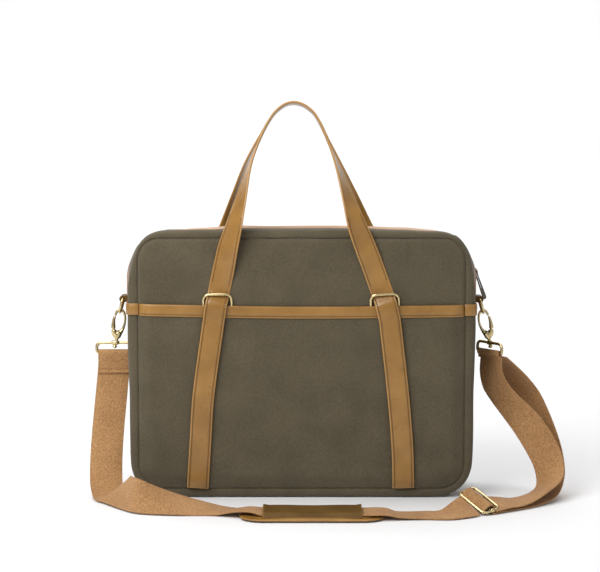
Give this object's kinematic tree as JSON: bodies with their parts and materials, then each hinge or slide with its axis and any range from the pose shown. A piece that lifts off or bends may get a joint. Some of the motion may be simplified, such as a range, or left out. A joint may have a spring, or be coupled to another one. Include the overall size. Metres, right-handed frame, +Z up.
{
  "type": "satchel bag",
  "caption": "Zip-top canvas satchel with a leather-banded front pocket, twin leather strap handles and a clip-on webbing shoulder strap lying round it.",
  "frame": {"origin": "middle of the bag's flat base, on the floor", "axes": "+Z up; +X to the right as the pocket side is faced; -Y out of the pocket side"},
  "size_m": [0.5583, 0.2346, 0.4606],
  "materials": {
    "canvas": "matte olive cotton canvas",
    "tan_leather": "smooth semi-gloss caramel leather",
    "dark_leather": "smooth dark brown leather",
    "cotton_webbing": "heavy cotton webbing, matte",
    "zip_tape": "woven zip tape",
    "antique_brass": "polished antique brass with dark patina",
    "dark_brass": "darkened brass",
    "lining": "plain woven lining",
    "base_board": "matte stiffener board"
  },
  "bodies": {
    "root": {"adjuster_bar": "antique_brass", "base_board": "base_board", "front_lining": "lining", "front_panel": "canvas", "front_pocket": "canvas", "front_strap_left": "tan_leather", "front_strap_right": "tan_leather", "keeper_ring_left": "antique_brass", "keeper_ring_right": "antique_brass", "lower_gusset": "canvas", "pad_sleeve": "dark_leather", "padded_divider": "lining", "pocket_band": "tan_leather", "rear_lining": "lining", "rear_panel": "canvas", "rear_strap_left": "tan_leather", "rear_strap_right": "tan_leather", "ring_anchor_left": "dark_leather", "ring_anchor_right": "dark_leather", "shoulder_pad": "tan_leather", "side_band_left": "tan_leather", "side_band_right": "tan_leather", "side_tab_left": "dark_leather", "side_tab_right": "dark_leather", "slide_adjuster": "antique_brass", "slip_pocket": "lining", "strap_run_left": "cotton_webbing", "strap_strand_front": "cotton_webbing", "strap_strand_rear": "cotton_webbing", "top_strip_front": "canvas", "top_strip_rear": "canvas", "zip_stop_left": "antique_brass", "zip_stop_right": "antique_brass", "zip_tape_front": "zip_tape", "zip_tape_rear": "zip_tape", "zip_teeth_front": "dark_brass", "zip_teeth_rear": "dark_brass"},
    "front_handle": {"front_handle": "tan_leather"},
    "rear_handle": {"rear_handle": "tan_leather"},
    "zip_slider": {"zip_slider": "dark_brass"},
    "zip_puller": {"zip_puller": "dark_brass"},
    "left_hanger": {"d_ring_left": "antique_brass", "base_loop_left": "antique_brass", "strap_end_left": "cotton_webbing"},
    "right_hanger": {"d_ring_right": "antique_brass", "base_loop_right": "antique_brass", "strap_end_right": "cotton_webbing"},
    "left_hook": {"hook_frame_left": "antique_brass"},
    "right_hook": {"hook_frame_right": "antique_brass"},
    "left_gate": {"hook_gate_left": "antique_brass"},
    "right_gate": {"hook_gate_right": "antique_brass"},
    "divider_strap": {"divider_strap": "lining"}
  },
  "joints": [
    {"name": "front_handle_fold", "type": "hinge", "parent": "root", "child": "front_handle", "pos_m": [0, -0.0478, 0.2465], "axis": [1, 0, 0], "range_deg": [0, 110]},
    {"name": "rear_handle_fold", "type": "hinge", "parent": "root", "child": "rear_handle", "pos_m": [0, 0.0478, 0.2465], "axis": [-1, 0, 0], "range_deg": [0, 110]},
    {"name": "zip_slide_round_corner", "type": "hinge", "parent": "root", "child": "zip_slider", "pos_m": [0.15, 0, 0.264], "axis": [0, -1, 0], "range_deg": [0, 85]},
    {"name": "zip_puller_swing", "type": "hinge", "parent": "zip_slider", "child": "zip_puller", "pos_m": [0.2052, 0, 0.26], "axis": [0, -1, 0], "range_deg": [0, 110]},
    {"name": "left_hanger_swing", "type": "hinge", "parent": "root", "child": "left_hanger", "pos_m": [-0.21, 0, 0.2292], "axis": [0, 1, 0], "range_deg": [0, 45]},
    {"name": "right_hanger_swing", "type": "hinge", "parent": "root", "child": "right_hanger", "pos_m": [0.2098, 0, 0.2285], "axis": [0, -1, 0], "range_deg": [0, 45]},
    {"name": "left_hook_swivel", "type": "hinge", "parent": "left_hanger", "child": "left_hook", "pos_m": [-0.21386, 0, 0.21567], "axis": [-0.1305, 0, -0.9914], "range_deg": [-12, 12]},
    {"name": "right_hook_swivel", "type": "hinge", "parent": "right_hanger", "child": "right_hook", "pos_m": [0.21396, 0, 0.21501], "axis": [0.2164, 0, -0.9763], "range_deg": [-12, 12]},
    {"name": "left_gate_press", "type": "hinge", "parent": "left_hook", "child": "left_gate", "pos_m": [-0.22179, 0, 0.19069], "axis": [0, 1, 0], "range_deg": [0, 15], "stiffness_Nm_per_rad": 0.02},
    {"name": "right_gate_press", "type": "hinge", "parent": "right_hook", "child": "right_gate", "pos_m": [0.22404, 0, 0.19082], "axis": [0, -1, 0], "range_deg": [0, 15], "stiffness_Nm_per_rad": 0.02},
    {"name": "divider_strap_lift", "type": "hinge", "parent": "root", "child": "divider_strap", "pos_m": [0, 0.038, 0.2715], "axis": [-1, 0, 0], "range_deg": [0, 90]}
  ]
}
